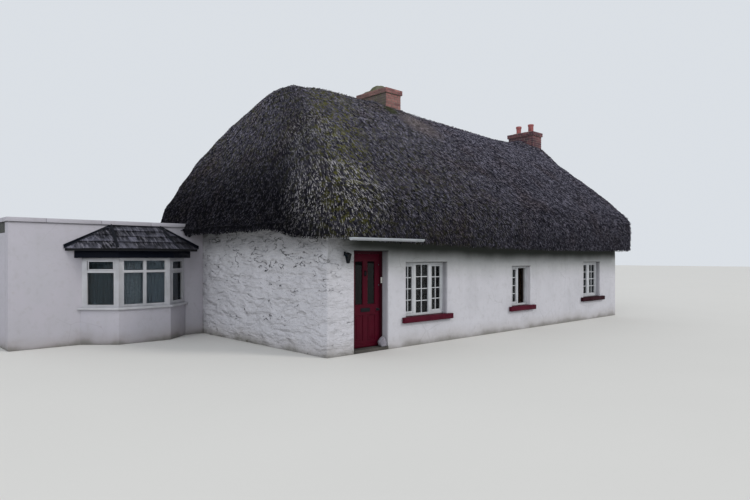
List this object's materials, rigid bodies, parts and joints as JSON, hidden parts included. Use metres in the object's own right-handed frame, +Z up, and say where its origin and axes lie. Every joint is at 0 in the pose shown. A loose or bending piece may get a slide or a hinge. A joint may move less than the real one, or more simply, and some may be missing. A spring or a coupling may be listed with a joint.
{
  "type": "thatched cottage",
  "caption": "Long low whitewashed cottage with a thick hipped thatched roof, brick chimneys, a hinged front door, deep-set windows and a flat-roofed side building with a bay window",
  "frame": {"origin": "middle of the main house's floor, on its underside at ground level", "axes": "+X along the front from the hipped end to the party wall, +Y from the front to the back, +Z up"},
  "size_m": [16.275, 9.65, 6.7503],
  "materials": {
    "whitewash": "lime whitewash over rubble stone, matt and chalky",
    "thatch": "weathered straw thatch, grey-brown with moss",
    "brick": "weathered red brick with lime mortar",
    "clay": "unglazed red clay",
    "mortar": "weathered mortar with lichen",
    "red_paint": "timber in dark red gloss paint",
    "white_paint": "timber in white gloss paint",
    "white_plastic": "white moulded plastic, a little grimy",
    "glass": "clear window glass",
    "black_iron": "iron in black paint",
    "steel": "dull polished metal",
    "slate": "grey roofing slate with lead hips",
    "navy_paint": "timber in near-black blue paint",
    "concrete": "plain trowelled concrete",
    "curtain_cloth": "plain brown woven curtain",
    "net_curtain": "plain white net curtain"
  },
  "bodies": {
    "cottage": {"house_floor": "concrete", "front_wall_left": "whitewash", "front_wall_over_door": "whitewash", "front_wall_right": "whitewash", "end_wall": "whitewash", "back_wall": "whitewash", "party_wall": "whitewash", "thatch_front_slope": "thatch", "thatch_back_slope": "thatch", "thatch_hip_end": "thatch", "chimney_left": "brick", "chimney_left_crown": "mortar", "chimney_right": "brick", "chimney_pot_front": "clay", "chimney_pot_back": "clay", "door_frame": "red_paint", "bell_box": "white_paint", "jamb_stone": "whitewash", "wall_lantern": "black_iron", "lantern_glass": "glass", "gutter": "white_plastic", "gutter_brackets": "black_iron", "window_1_frame": "white_paint", "window_1_glass": "glass", "window_1_sill": "red_paint", "window_2_frame": "white_paint", "window_2_glass": "glass", "window_2_sill": "red_paint", "window_2_casement": "white_paint", "window_2_casement_glass": "glass", "window_3_frame": "white_paint", "window_3_glass": "glass", "window_3_sill": "red_paint", "back_window_1_frame": "white_paint", "back_window_1_glass": "glass", "back_window_2_frame": "white_paint", "back_window_2_glass": "glass", "side_floor": "concrete", "side_front_wall": "whitewash", "side_left_wall": "whitewash", "side_back_wall": "whitewash", "side_roof": "concrete", "side_coping": "whitewash", "bay_base": "whitewash", "bay_sill": "white_paint", "bay_frame": "white_paint", "bay_glass_left": "glass", "bay_glass_centre": "glass", "bay_glass_right": "glass", "bay_fascia": "navy_paint", "bay_roof": "slate", "window_2_curtain": "curtain_cloth", "bay_net_curtain": "net_curtain"},
    "door": {"front_door": "red_paint", "door_glass_left": "glass", "door_glass_right": "glass", "letter_plate": "steel", "door_knob": "steel", "door_knocker": "black_iron"}
  },
  "joints": [
    {"name": "front_door_hinge", "type": "hinge", "parent": "cottage", "child": "door", "pos_m": [-5.2625, -3.1475, 1], "axis": [0, 0, 1], "range_deg": [0, 90]}
  ]
}
